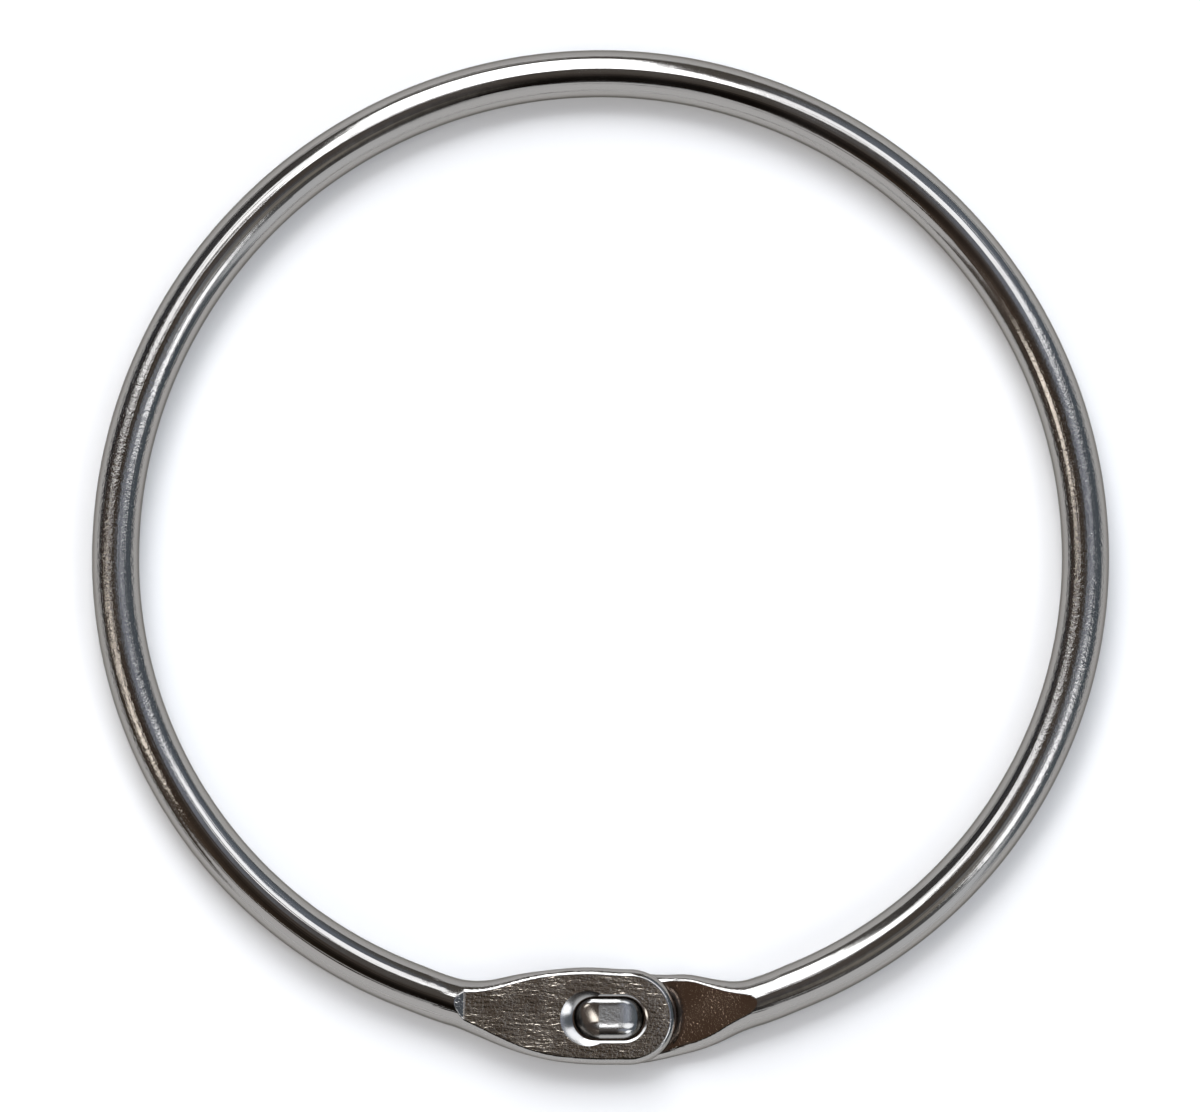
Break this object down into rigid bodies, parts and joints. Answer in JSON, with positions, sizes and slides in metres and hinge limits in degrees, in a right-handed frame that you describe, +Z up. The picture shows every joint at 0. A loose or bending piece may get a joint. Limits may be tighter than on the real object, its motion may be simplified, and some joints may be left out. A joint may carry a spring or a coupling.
{
  "type": "binder ring",
  "caption": "Round sprung steel wire ring whose flattened ends overlap and lock with a raised stud in a slot, for holding punched sheets or tags together.",
  "frame": {"origin": "middle of the ring's upper half in plan, on the flat surface that the ring lies on", "axes": "+Z up out of the ring's plane, towards the face that carries the slotted end; +Y from the lock across the ring; +X along the lock, from the slotted end's wire towards the stud end's wire"},
  "size_m": [0.084, 0.0838, 0.0039],
  "materials": {
    "nickel_plated_steel": "polished nickel plate on spring steel wire, with fine handling scratches on the pressed flats"
  },
  "bodies": {
    "root": {"ring": "nickel_plated_steel"}
  },
  "joints": []
}
